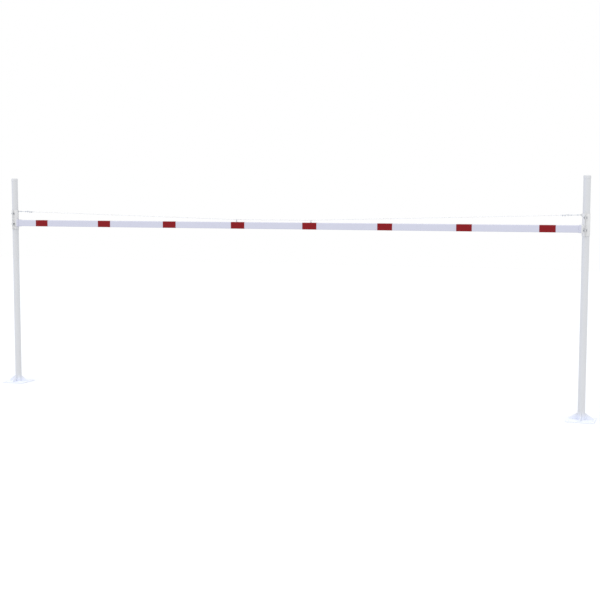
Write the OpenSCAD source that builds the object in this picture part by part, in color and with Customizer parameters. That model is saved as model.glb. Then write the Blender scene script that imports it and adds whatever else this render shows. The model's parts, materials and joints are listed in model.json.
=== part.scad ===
// Height restriction barrier: two round posts on gusseted base plates, a long square
// crossbar with red bands, and a wire rope stay that holds the crossbar level.
// The crossbar slides up and down the posts on two split clamp sleeves.
// Origin: on the ground, midway between the posts. +X runs along the crossbar, +Z is up,
// and the bolted ears of the clamps face -Y. All lengths are in millimetres.

/* [Posts] */
// Distance between the two post axes
post_span = 8220; // [4000:20:9000]
// Length of each post's pipe
post_len = 3000; // [2500:50:4000]
// Outside diameter of the post pipe
post_d = 88.9; // [76:0.1:114.3]
// Wall thickness of the post pipe
post_wall = 4; // [2.5:0.5:6]
// Thickness of the cap's steel
cap_wall = 2; // [1.5:0.5:4]
// Depth of the cap's skirt down the outside of the pipe
cap_skirt = 24; // [10:1:40]
// Rise of the cap's domed top above the pipe
cap_rise = 15; // [8:1:25]

/* [Feet] */
// Side of the square base plate
plate_side = 340; // [300:5:400]
// Thickness of the base plate
plate_t = 12; // [8:1:20]
// Distance between neighbouring anchor holes
anchor_pitch = 260; // [240:5:280]
// Diameter of each anchor hole
anchor_hole_d = 18; // [14:1:22]
// Height of each gusset above the base plate
gusset_h = 86; // [60:2:140]
// Length of each gusset outwards from the pipe
gusset_len = 108; // [80:1:120]
// Height of the gusset's square end at its foot
gusset_nose = 18; // [8:1:30]
// Thickness of each gusset
gusset_t = 8; // [5:1:12]

/* [Crossbar] */
// Side of the square crossbar tube
beam_side = 90; // [70:1:100]
// Wall thickness of the crossbar tube
beam_wall = 2.5; // [2:0.5:5]
// Outside corner radius of the crossbar tube
beam_corner = 8; // [5:0.5:12]
// Height of the crossbar's middle above the ground
beam_z = 2371; // [1800:1:2400]
// Distance between neighbouring red bands, less where the crossbar is too short for it
band_pitch = 1040; // [400:10:1100]
// Width of each red band
band_w = 200; // [100:10:300]
// Thickness of the reflective film of a band
band_t = 0.4; // [0.2:0.1:1]
// Number of red bands
band_count = 8; // [2:2:8]
// How far the row of bands sits to +X of the crossbar's middle
band_shift = 13; // [-40:1:40]

/* [Clamps] */
// Height of the clamp sleeve
sleeve_h = 275; // [250:5:320]
// Wall thickness of the clamp sleeve
sleeve_wall = 5; // [3:0.5:8]
// Distance from the crossbar's middle down to the sleeve's lower edge
sleeve_drop = 87; // [70:1:110]
// Width of the slit in front, between the two ears
slit_w = 3; // [2:1:12]
// Thickness of each ear
ear_t = 7; // [5:1:10]
// How far the ears stand out from the sleeve
ear_reach = 26; // [24:1:60]
// Thread diameter of the clamp bolts
bolt_d = 12; // [10:1:16]
// Distance from the sleeve's lower edge up to the lower clamp bolt
bolt_low = 74; // [40:1:80]
// Distance between the two clamp bolts
bolt_pitch = 152; // [100:2:160]
// Wall thickness of the crossbar's end socket
socket_wall = 5; // [3:0.5:8]
// Depth of crossbar that the socket holds
socket_depth = 25; // [15:1:60]

/* [Rope stay] */
// Diameter of the wire rope
rope_d = 4; // [4:0.5:6]
// Distance from the crossbar's middle to each eye bolt
eye_x = 540; // [200:10:1500]
// Height of the eye's centre above the crossbar's top
eye_rise = 28; // [27:1:40]
// Distance from the sleeve's outer face to the lug's hole
lug_hole_out = 8; // [8:1:20]
// Distance from the sleeve's upper edge down to the lug's hole
lug_hole_drop = 16; // [14:1:40]
// Thickness of the lug
lug_t = 8; // [5:1:8]
// Length of the turnbuckle's body
buckle_len = 90; // [60:5:160]
// Thread diameter of the turnbuckle's rods
rod_d = 8; // [6:1:10]
// Thickness of the steel bar that the hooks and the eyes are bent from
wire_d = 6; // [4:1:6]

/* [Hidden] */

$fn = 64;

// Clearances
run_gap = 0.3;   // sleeve on the post, and turning faces
seat_gap = 0.05; // pieces that lie against each other
thread_gap = 0.1; // a rod in a threaded hole, on the radius
eps = 0.5;       // how far a cutter runs past the face it cuts

// Colours
WHITE_PAINT = "#dcdfe4";
BEAM_PAINT = "#d1d3e4";
RED_FILM = "#8a2c2e";
ZINC = "#8f949a";
DARK_ZINC = "#6c7076";

// Posts and feet
post_x = post_span / 2;
post_r = post_d / 2;
post_top = plate_t + post_len;
cap_r = post_r + seat_gap + cap_wall;
foot_reach = post_r + gusset_len;

// Crossbar and clamps
beam_top = beam_z + beam_side / 2;
sleeve_z = beam_z - sleeve_drop;
sleeve_top = sleeve_z + sleeve_h;
sleeve_bore_r = post_r + run_gap;
sleeve_r = sleeve_bore_r + sleeve_wall;
socket_side = beam_side + 2 * (seat_gap + socket_wall);
beam_end = sleeve_r + 3;
socket_end = beam_end + socket_depth;
beam_len = 2 * (post_x - beam_end);
band_room = beam_len - 2 * socket_depth - 100;
band_step = min(band_pitch, (band_room - band_w) / (band_count - 1));
ear_tip = sleeve_r + ear_reach;
bolt_y = -(sleeve_r + ear_reach / 2);
bolt_heights = [sleeve_z + bolt_low, sleeve_z + bolt_low + bolt_pitch];

// Usual proportions of hexagon bolts and nuts, from the thread diameter
function across_corners(d) = 1.85 * d;
function head_height(d) = 0.64 * d;
function nut_height(d) = 0.85 * d;
function washer_d(d) = 2 * d;
function washer_t(d) = 0.2 * d;

// Eye bolts on the crossbar
rope_r = rope_d / 2;
wire_r = wire_d / 2;
eye_bend_r = rope_d + 6;            // middle of the bar, from the middle of an eye
eye_hole_r = eye_bend_r - wire_r;
eye_z = beam_top + eye_rise;
eye_thread_d = 10;
rivet_flange_t = 1.5;
rivet_flange_d = 18;
rivet_body_d = 14;
rivet_len = 18;

// The stay: a straight line from the lug's hole down to the eye bolt
rope_at_eye_z = eye_z + eye_hole_r - rope_r - seat_gap;
lug_hole_x = sleeve_r + lug_hole_out;
anchor_x = post_x - lug_hole_x;
anchor_z = sleeve_top - lug_hole_drop;
stay_tilt = atan2(anchor_z - rope_at_eye_z, anchor_x - eye_x);
lug_hole_d = wire_d + 5;
lug_rim = 10;                       // from the middle of the hole to the lug's tip
lug_tip_x = lug_hole_x + lug_rim;

// Along the stay, measured from the lug's hole
hook_bend_r = lug_rim - 1;
hook_shank_x = 2 * hook_bend_r;
body_x = hook_shank_x + 20;
body_end_x = body_x + buckle_len;
boss_len = 15;
boss_d = 1.9 * rod_d;
side_bar_d = 6;
side_bar_y = rod_d / 2 + side_bar_d / 2 + 2.5;
rod_grip = 10;                      // length of rod inside the body, past the boss
eye_ring_x = body_end_x + wire_r + eye_bend_r + 2;
thimble_wall = 1.5;
thimble_half_w = rope_r + 1;
thimble_r = rope_d + 2;             // inside radius of the thimble's round end
ring_bar_x = sqrt(pow(eye_bend_r, 2) - pow(thimble_half_w, 2)); // at the thimble's edge
thimble_x = eye_ring_x + ring_bar_x + sqrt(pow(thimble_r - wire_r - 0.3, 2) - pow(rope_r, 2));
thimble_z = rope_r;
groove_r = thimble_r + thimble_wall + rope_r + seat_gap;
thimble_leg = 28;                   // from the round end's middle to the point
leg_slope = asin(groove_r / norm([thimble_leg, rope_r])) - atan2(rope_r, thimble_leg);
legs_meet_x = thimble_x + thimble_leg;
clip_xs = [legs_meet_x + 14, legs_meet_x + 44];
tail_x = legs_meet_x + 72;

// Wire rope clips
clip_bar_d = 5;
clip_leg_y = rope_r + clip_bar_d / 2 + seat_gap;
saddle_w = 13;
saddle_h = 7;
saddle_d = 2 * clip_leg_y + clip_bar_d + 5;
clip_nut_h = nut_height(clip_bar_d);
clip_nut_z = -(rope_r + saddle_h - 2);

// ---- Placing ----

// Every piece is drawn at the right-hand post
module right() {
    children();
}

// The same piece, mirrored to the left-hand post
module left() {
    mirror([1, 0, 0])
        children();
}

module at_post() {
    translate([post_x, 0, 0])
        children();
}

// Local +X runs along the stay, from the lug's hole towards the eye bolt
module along_stay() {
    translate([anchor_x, 0, anchor_z])
        rotate([0, -stay_tilt, 0])
            rotate([0, 0, 180])
                children();
}

// ---- Shapes that repeat ----

module rounded_square(side, r) {
    square([side, side - 2 * r], center = true);
    square([side - 2 * r, side], center = true);
    for (x = [-1, 1], y = [-1, 1])
        translate([x * (side / 2 - r), y * (side / 2 - r)])
            circle(r = r);
}

// A square tube along X, from x = 0
module square_tube(length, outside, outside_r, inside, inside_r) {
    rotate([90, 0, 90])
        difference() {
            linear_extrude(length)
                rounded_square(outside, outside_r);
            translate([0, 0, -eps])
                linear_extrude(length + 2 * eps)
                    rounded_square(inside, inside_r);
        }
}

// A bar along X from x = 0
module bar_x(d, length) {
    rotate([0, 90, 0])
        cylinder(d = d, h = length);
}

// A hexagon along X from x = 0
module hexagon_x(d, height) {
    rotate([0, 90, 0])
        cylinder(d = across_corners(d), h = height, $fn = 6);
}

// A round bar bent round the local Z axis
module bent_bar(d, bend_r, angle) {
    rotate_extrude(angle = angle)
        translate([bend_r, 0])
            circle(d = d);
}

// What lies inside the sleeve's outer face, taken from the pieces welded to it
module sleeve_space() {
    translate([0, 0, sleeve_z - eps])
        cylinder(r = sleeve_r + seat_gap, h = sleeve_h + 2 * eps);
}

// ---- Posts and feet ----

module post_tube() {
    color(WHITE_PAINT)
        at_post()
            translate([0, 0, plate_t])
                difference() {
                    cylinder(d = post_d, h = post_len);
                    translate([0, 0, -eps])
                        cylinder(d = post_d - 2 * post_wall, h = post_len + 2 * eps);
                }
}

module base_plate() {
    color(WHITE_PAINT)
        at_post()
            difference() {
                translate([-plate_side / 2, -plate_side / 2, 0])
                    cube([plate_side, plate_side, plate_t]);
                for (x = [-1, 1], y = [-1, 1])
                    translate([x * anchor_pitch / 2, y * anchor_pitch / 2, -eps])
                        cylinder(d = anchor_hole_d, h = plate_t + 2 * eps);
            }
}

module gussets() {
    color(WHITE_PAINT)
        at_post()
            for (turn = [0 : 90 : 270])
                rotate([0, 0, turn])
                    difference() {
                        translate([0, gusset_t / 2, plate_t])
                            rotate([90, 0, 0])
                                linear_extrude(gusset_t)
                                    polygon([
                                        [post_r - 2, 0],
                                        [foot_reach, 0],
                                        [foot_reach, gusset_nose],
                                        [post_r + 6, gusset_h],
                                        [post_r - 2, gusset_h]
                                    ]);
                        cylinder(r = post_r + seat_gap, h = plate_t + gusset_h + eps);
                    }
}

module post_cap() {
    color(WHITE_PAINT)
        at_post()
            translate([0, 0, post_top])
                difference() {
                    union() {
                        translate([0, 0, -cap_skirt])
                            cylinder(r = cap_r, h = cap_skirt + 4);
                        translate([0, 0, 4])
                            cylinder(r1 = cap_r, r2 = cap_r - 6, h = cap_rise - 9);
                        translate([0, 0, cap_rise - 5])
                            cylinder(r1 = cap_r - 6, r2 = cap_r - 18, h = 5);
                    }
                    translate([0, 0, -cap_skirt - eps])
                        cylinder(r = post_r + seat_gap, h = cap_skirt + eps);
                }
}

// ---- Crossbar ----

module beam_tube() {
    color(BEAM_PAINT)
        difference() {
            translate([-beam_len / 2, 0, beam_z])
                square_tube(beam_len, beam_side, beam_corner,
                            beam_side - 2 * beam_wall, beam_corner - beam_wall);
            for (x = [-eye_x, eye_x])
                translate([x, 0, beam_top - beam_wall - eps])
                    cylinder(d = rivet_body_d + 2 * seat_gap, h = beam_wall + 2 * eps);
        }
}

module red_bands() {
    inside = beam_side + 2 * seat_gap;
    color(RED_FILM)
        for (i = [0 : band_count - 1])
            difference() {
                translate([band_shift + (i - (band_count - 1) / 2) * band_step - band_w / 2, 0, beam_z])
                    square_tube(band_w, inside + 2 * band_t, beam_corner + band_t,
                                inside, beam_corner);
                for (x = [-eye_x, eye_x])
                    translate([x, 0, beam_top - eps])
                        cylinder(d = rivet_flange_d + 1, h = band_t + 3 * eps);
            }
}

// ---- Clamps ----

module clamp_sleeve() {
    color(WHITE_PAINT)
        at_post()
            difference() {
                translate([0, 0, sleeve_z])
                    cylinder(r = sleeve_r, h = sleeve_h);
                translate([0, 0, sleeve_z - eps])
                    cylinder(r = sleeve_bore_r, h = sleeve_h + 2 * eps);
                translate([-slit_w / 2, -sleeve_r - eps, sleeve_z - eps])
                    cube([slit_w, sleeve_r, sleeve_h + 2 * eps]);
            }
}

module clamp_ears() {
    color(WHITE_PAINT)
        at_post()
            difference() {
                for (x = [-slit_w / 2 - ear_t, slit_w / 2])
                    translate([x, -ear_tip, sleeve_z])
                        cube([ear_t, ear_reach + sleeve_wall, sleeve_h]);
                sleeve_space();
                for (z = bolt_heights)
                    translate([-slit_w / 2 - ear_t - eps, bolt_y, z])
                        bar_x(bolt_d + 1, slit_w + 2 * ear_t + 2 * eps);
            }
}

module beam_socket() {
    color(BEAM_PAINT)
        at_post()
            difference() {
                translate([-socket_end, -socket_side / 2, beam_z - socket_side / 2])
                    cube([socket_end - sleeve_r / 3, socket_side, socket_side]);
                sleeve_space();
                translate([-socket_end - eps, 0, beam_z])
                    rotate([90, 0, 90])
                        linear_extrude(socket_depth + eps)
                            rounded_square(beam_side + 2 * seat_gap, beam_corner);
            }
}

module stay_lug() {
    color(WHITE_PAINT)
        at_post()
            difference() {
                translate([0, lug_t / 2, 0])
                    rotate([90, 0, 0])
                        linear_extrude(lug_t)
                            polygon([
                                [-sleeve_bore_r, anchor_z - 28],
                                [-sleeve_r - 3, anchor_z - 28],
                                [-lug_tip_x, anchor_z - 8],
                                [-lug_tip_x, anchor_z + 8],
                                [-sleeve_r - 6, anchor_z + 13],
                                [-sleeve_bore_r, anchor_z + 13]
                            ]);
                sleeve_space();
                translate([-lug_hole_x, lug_t / 2 + eps, anchor_z])
                    rotate([90, 0, 0])
                        cylinder(d = lug_hole_d, h = lug_t + 2 * eps);
            }
}

// Where the outer faces of the two washers lie, from the middle of the slit
bolt_face_x = slit_w / 2 + ear_t + washer_t(bolt_d);

module clamp_bolts() {
    color(ZINC)
        at_post()
            for (z = bolt_heights)
                translate([bolt_face_x, bolt_y, z]) {
                    hexagon_x(bolt_d, head_height(bolt_d));
                    translate([-2 * bolt_face_x - nut_height(bolt_d) - 5, 0, 0])
                        bar_x(bolt_d, 2 * bolt_face_x + nut_height(bolt_d) + 5 + eps);
                }
}

module clamp_nuts() {
    color(DARK_ZINC)
        at_post()
            for (z = bolt_heights)
                translate([-bolt_face_x - nut_height(bolt_d), bolt_y, z])
                    difference() {
                        hexagon_x(bolt_d, nut_height(bolt_d));
                        translate([-eps, 0, 0])
                            bar_x(bolt_d + 2 * seat_gap, nut_height(bolt_d) + 2 * eps);
                    }
}

module clamp_washers() {
    color(ZINC)
        at_post()
            for (z = bolt_heights, x = [-bolt_face_x, slit_w / 2 + ear_t])
                translate([x, bolt_y, z])
                    difference() {
                        bar_x(washer_d(bolt_d), washer_t(bolt_d));
                        translate([-eps, 0, 0])
                            bar_x(bolt_d + 1, washer_t(bolt_d) + 2 * eps);
                    }
}

// ---- Eye bolts ----

module eye_bolt() {
    shank_bottom = beam_top - rivet_len + 2;
    color(ZINC)
        translate([eye_x, 0, eye_z]) {
            rotate([0, 90, 0])
                bent_bar(wire_d, eye_bend_r, 360);
            translate([0, 0, shank_bottom - eye_z])
                cylinder(d = eye_thread_d, h = eye_z - eye_bend_r - shank_bottom);
        }
}

module eye_lock_nut() {
    color(DARK_ZINC)
        translate([eye_x, 0, beam_top + rivet_flange_t])
            difference() {
                cylinder(d = across_corners(eye_thread_d), h = nut_height(eye_thread_d), $fn = 6);
                translate([0, 0, -eps])
                    cylinder(d = eye_thread_d + 2 * seat_gap, h = nut_height(eye_thread_d) + 2 * eps);
            }
}

module rivet_nut() {
    color(ZINC)
        translate([eye_x, 0, beam_top])
            difference() {
                union() {
                    cylinder(d = rivet_flange_d, h = rivet_flange_t);
                    translate([0, 0, -rivet_len])
                        cylinder(d = rivet_body_d, h = rivet_len + eps);
                }
                translate([0, 0, -rivet_len - eps])
                    cylinder(d = eye_thread_d + 2 * seat_gap, h = rivet_len + rivet_flange_t + 2 * eps);
            }
}

// ---- Turnbuckles ----

module turnbuckle_hook() {
    shank_x = hook_shank_x - wire_r - eps;
    color(ZINC)
        along_stay() {
            translate([hook_bend_r, 0, 0])
                bent_bar(wire_d, hook_bend_r, 250);
            translate([shank_x, 0, 0])
                bar_x(rod_d, body_x + boss_len + rod_grip - shank_x);
        }
}

module turnbuckle_body() {
    color(ZINC)
        along_stay()
            difference() {
                union() {
                    for (x = [body_x, body_end_x - boss_len])
                        translate([x, 0, 0])
                            bar_x(boss_d, boss_len);
                    for (y = [-side_bar_y, side_bar_y])
                        translate([body_x + 3, y, 0])
                            bar_x(side_bar_d, buckle_len - 6);
                }
                translate([body_x - eps, 0, 0])
                    bar_x(rod_d + 2 * thread_gap, buckle_len + 2 * eps);
            }
}

module turnbuckle_eye() {
    shank_x = body_end_x - boss_len - rod_grip;
    color(ZINC)
        along_stay() {
            translate([eye_ring_x, 0, 0])
                bent_bar(wire_d, eye_bend_r, 360);
            translate([shank_x, 0, 0])
                bar_x(rod_d, eye_ring_x - eye_bend_r - shank_x);
        }
}

// ---- Wire rope and what holds its ends ----

// A point of the stay's own plane, from its distance along the stay and its height above it
function stay_point(x, z) = [
    anchor_x - x * cos(stay_tilt) - z * sin(stay_tilt),
    0,
    anchor_z - x * sin(stay_tilt) + z * cos(stay_tilt)
];

// The rope's right half: from the eye bolt up to the thimble, round it, and back to its tail
loop_steps = 20;
loop_angle = 180 + 2 * leg_slope;
right_half = [
    [eye_x, 0, rope_at_eye_z],
    stay_point(legs_meet_x, 0),
    for (i = [0 : loop_steps])
        let (angle = leg_slope - 90 - i * loop_angle / loop_steps)
            stay_point(thimble_x + groove_r * cos(angle), thimble_z + groove_r * sin(angle)),
    stay_point(legs_meet_x, 2 * thimble_z),
    stay_point(tail_x, 2 * thimble_z)
];
left_half = [for (i = [len(right_half) - 1 : -1 : 0]) [-right_half[i].x, 0, right_half[i].z]];
rope_route = concat(left_half, right_half);

// Direction of the route at one of its points
function unit(v) = v / norm(v);
function heading(route, i) =
    unit(route[min(i + 1, len(route) - 1)] - route[max(i - 1, 0)]);

// A round tube along a route that lies in the XZ plane
module swept_tube(route, r, sides) {
    last = len(route) - 1;
    rings = [
        for (i = [0 : last], k = [0 : sides - 1])
            let (turn = 360 * k / sides)
                route[i] + r * (cos(turn) * [0, 1, 0] + sin(turn) * cross(heading(route, i), [0, 1, 0]))
    ];
    walls = [
        for (i = [0 : last - 1], k = [0 : sides - 1])
            let (next = (k + 1) % sides)
                [i * sides + k, (i + 1) * sides + k, (i + 1) * sides + next, i * sides + next]
    ];
    start_face = [for (k = [0 : sides - 1]) k];
    end_face = [for (k = [sides - 1 : -1 : 0]) last * sides + k];
    polyhedron(points = rings, faces = concat(walls, [start_face, end_face]));
}

module stay_rope() {
    color(DARK_ZINC)
        swept_tube(rope_route, rope_r, 10);
}

// The thimble's channel: its web carries the rope, and two rims keep it in place
module thimble_channel() {
    translate([thimble_r, -thimble_half_w])
        square([thimble_wall, 2 * thimble_half_w]);
    for (y = [-thimble_half_w, thimble_half_w - 0.8])
        translate([thimble_r, y])
            square([thimble_wall + rope_r + 1, 0.8]);
}

module rope_thimble() {
    leg = thimble_leg - 8;
    color(DARK_ZINC)
        along_stay()
            translate([thimble_x, 0, thimble_z]) {
                rotate([90, 90 + leg_slope, 0])
                    rotate_extrude(angle = 180 + 2 * leg_slope)
                        thimble_channel();
                intersection() {
                    union() {
                        for (side = [0, 1])
                            mirror([0, 0, side])
                                rotate([0, leg_slope, 0])
                                    rotate([0, 90, 0])
                                        linear_extrude(leg)
                                            rotate(180)
                                                thimble_channel();
                    }
                    translate([0, -thimble_half_w, -2 * thimble_r])
                        cube([leg, 2 * thimble_half_w, 4 * thimble_r]);
                }
            }
}

// ---- Wire rope clips ----

module clip_saddles() {
    color(ZINC)
        along_stay()
            for (x = clip_xs)
                translate([x, 0, 0])
                    difference() {
                        translate([-saddle_w / 2, -saddle_d / 2, clip_nut_z])
                            cube([saddle_w, saddle_d, saddle_h]);
                        translate([-saddle_w / 2 - eps, 0, 0])
                            bar_x(rope_d + 2 * seat_gap, saddle_w + 2 * eps);
                        for (y = [-clip_leg_y, clip_leg_y])
                            translate([0, y, clip_nut_z - eps])
                                cylinder(d = clip_bar_d + 2 * thread_gap, h = saddle_h + 2 * eps);
                    }
}

module clip_u_bolts() {
    leg_bottom = clip_nut_z - clip_nut_h - 3;
    color(ZINC)
        along_stay()
            for (x = clip_xs)
                translate([x, 0, 0]) {
                    translate([0, 0, rope_d])
                        rotate([90, 0, 90])
                            bent_bar(clip_bar_d, clip_leg_y, 180);
                    for (y = [-clip_leg_y, clip_leg_y])
                        translate([0, y, leg_bottom])
                            cylinder(d = clip_bar_d, h = rope_d - leg_bottom);
                }
}

module clip_nuts() {
    color(DARK_ZINC)
        along_stay()
            for (x = clip_xs, y = [-clip_leg_y, clip_leg_y])
                translate([x, y, clip_nut_z - clip_nut_h])
                    difference() {
                        cylinder(d = across_corners(clip_bar_d), h = clip_nut_h, $fn = 6);
                        translate([0, 0, -eps])
                            cylinder(d = clip_bar_d + 2 * seat_gap, h = clip_nut_h + 2 * eps);
                    }
}

// ---- Nodes ----

left() post_tube();  // left_post_tube
right() post_tube();  // right_post_tube
left() base_plate();  // left_base_plate
right() base_plate();  // right_base_plate
left() gussets();  // left_gussets
right() gussets();  // right_gussets
left() post_cap();  // left_post_cap
right() post_cap();  // right_post_cap
beam_tube();
red_bands();
left() clamp_sleeve();  // left_clamp_sleeve
right() clamp_sleeve();  // right_clamp_sleeve
left() clamp_ears();  // left_clamp_ears
right() clamp_ears();  // right_clamp_ears
left() beam_socket();  // left_beam_socket
right() beam_socket();  // right_beam_socket
left() stay_lug();  // left_stay_lug
right() stay_lug();  // right_stay_lug
left() clamp_bolts();  // left_clamp_bolts
right() clamp_bolts();  // right_clamp_bolts
left() clamp_nuts();  // left_clamp_nuts
right() clamp_nuts();  // right_clamp_nuts
left() clamp_washers();  // left_clamp_washers
right() clamp_washers();  // right_clamp_washers
left() eye_bolt();  // left_eye_bolt
right() eye_bolt();  // right_eye_bolt
left() eye_lock_nut();  // left_eye_lock_nut
right() eye_lock_nut();  // right_eye_lock_nut
left() rivet_nut();  // left_rivet_nut
right() rivet_nut();  // right_rivet_nut
stay_rope();
left() turnbuckle_body();  // left_turnbuckle_body
right() turnbuckle_body();  // right_turnbuckle_body
left() turnbuckle_hook();  // left_turnbuckle_hook
right() turnbuckle_hook();  // right_turnbuckle_hook
left() turnbuckle_eye();  // left_turnbuckle_eye
right() turnbuckle_eye();  // right_turnbuckle_eye
left() rope_thimble();  // left_rope_thimble
right() rope_thimble();  // right_rope_thimble
left() clip_saddles();  // left_clip_saddles
right() clip_saddles();  // right_clip_saddles
left() clip_u_bolts();  // left_clip_u_bolts
right() clip_u_bolts();  // right_clip_u_bolts
left() clip_nuts();  // left_clip_nuts
right() clip_nuts();  // right_clip_nuts
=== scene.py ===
import json
import math

import bmesh
import bpy
from mathutils import Matrix, Vector


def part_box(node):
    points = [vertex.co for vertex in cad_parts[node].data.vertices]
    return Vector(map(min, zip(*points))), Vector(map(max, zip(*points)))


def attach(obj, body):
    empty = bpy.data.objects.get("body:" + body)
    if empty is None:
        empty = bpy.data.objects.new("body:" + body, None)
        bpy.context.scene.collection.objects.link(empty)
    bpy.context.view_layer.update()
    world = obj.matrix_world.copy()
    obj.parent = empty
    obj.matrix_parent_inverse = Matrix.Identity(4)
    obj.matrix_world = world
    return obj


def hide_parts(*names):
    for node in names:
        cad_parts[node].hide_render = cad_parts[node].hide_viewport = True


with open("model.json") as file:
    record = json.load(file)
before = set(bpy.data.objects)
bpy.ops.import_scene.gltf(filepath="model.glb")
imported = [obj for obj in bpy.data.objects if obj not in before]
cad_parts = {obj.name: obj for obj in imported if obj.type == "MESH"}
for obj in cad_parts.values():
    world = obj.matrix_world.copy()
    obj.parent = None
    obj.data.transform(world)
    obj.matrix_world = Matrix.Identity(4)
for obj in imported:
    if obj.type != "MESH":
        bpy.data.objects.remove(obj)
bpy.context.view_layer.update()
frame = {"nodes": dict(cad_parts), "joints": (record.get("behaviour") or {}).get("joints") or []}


# ---- Camera ----
# An ordinary long lens, a little higher than the crossbar and fourteen metres in front of
# it, standing to the right and turned back so that both posts are in view.
camera_data = bpy.data.cameras.new("camera")
camera_data.sensor_width = 36
camera_data.lens = 65.99
camera_data.clip_end = 200
camera = bpy.data.objects.new("camera", camera_data)
bpy.context.collection.objects.link(camera)


def rotation(degrees, axis):
    """A turn about X, Y or Z."""
    return Matrix.Rotation(math.radians(degrees), 4, axis)


def shift(x, y, z):
    """A move along X, Y and Z."""
    return Matrix.Translation((x, y, z))


stand = shift(5.531, -13.824, 2.698)
camera.matrix_world = stand @ rotation(20.41, "Z") @ rotation(90 - 5.12, "X") @ rotation(0.14, "Z")
bpy.context.scene.camera = camera


# ---- Studio light and floor ----
# A white tent of light all round, one wide soft lamp overhead, a faint blue one low on the
# left, and a pale floor that throws some light back up at the feet. White stays white.
FLOOR_WHITE = "#e2e4e7"
mm = 0.001


def linear(code):
    """A hex colour as the linear red, green, blue and alpha that a shader takes."""
    parts = [int(code[i:i + 2], 16) / 255 for i in (1, 3, 5)]
    return [c / 12.92 if c <= 0.04045 else ((c + 0.055) / 1.055) ** 2.4 for c in parts] + [1]


def new_material(name, slot, settings):
    """A material whose Principled shader has these settings, with its tree and its shader.
    It stands for one of the record's material slots, or for none."""
    material = bpy.data.materials.new(name)
    material["slot"] = slot
    material.use_nodes = True
    tree = material.node_tree
    shader = tree.nodes["Principled BSDF"]
    for key, value in settings.items():
        shader.inputs[key].default_value = value
    return material, tree, shader


def add_lamp(name, aim, energy, spread, colour=(1, 1, 1)):
    """A distant lamp, aimed by its turns about X, Y and Z. Angles are in degrees."""
    bpy.ops.object.select_all(action="DESELECT")
    bpy.ops.object.light_add(type="SUN", location=(0, 0, 8))
    lamp = bpy.context.object
    lamp.name = name
    lamp.rotation_euler = [math.radians(angle) for angle in aim]
    lamp.data.energy = energy
    lamp.data.angle = math.radians(spread)
    lamp.data.color = colour


tent = bpy.data.worlds.new("light_tent")
tent.use_nodes = True
tent.node_tree.nodes["Background"].inputs["Color"].default_value = (1, 1, 1, 1)
tent.node_tree.nodes["Background"].inputs["Strength"].default_value = 1
bpy.context.scene.world = tent
bpy.context.scene.view_settings.view_transform = "Standard"
add_lamp("overhead_lamp", aim=(24, 4, 0), energy=1.3, spread=70)
add_lamp("blue_side_lamp", aim=(0, -90, 20), energy=0.35, spread=40, colour=(0.1, 0.3, 1))

bpy.ops.object.select_all(action="DESELECT")
bpy.ops.mesh.primitive_plane_add(size=60, location=(0, 0, -0.5 * mm))
floor = bpy.context.object
floor.name = "floor"
floor_paint = new_material("floor_paint", "", {"Base Color": linear(FLOOR_WHITE),
                                               "Roughness": 0.9, "Specular IOR Level": 0})[0]
floor.data.materials.append(floor_paint)


# ---- Post pipes ----
# Two lengths of round steel pipe, cut square and powder coated white. The coat is sprayed as
# dry powder and baked, which leaves it satin, with a fine orange peel and a few dust nibs.
COAT_WHITE = "#cacbcd"
COAT_SHADE = "#c6c7c9"
# Painted bounce light: a paler, bluish white laid on the lowest 150 mm of the coat, standing in for
# light thrown up from the floor
FOOT_LIGHT_WHITE = "#e1e5f1"
foot_light_top = 150 * mm


def add_node(tree, kind, settings=None, links=None):
    """Adds a node. A setting is an input's value or else a property, and a link is an input's
    source."""
    node = tree.nodes.new(kind)
    for key, value in (settings or {}).items():
        if isinstance(key, int) or key in node.inputs:
            node.inputs[key].default_value = value
        else:
            setattr(node, key, value)
    for key, source in (links or {}).items():
        tree.links.new(source, node.inputs[key])
    return node


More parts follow.
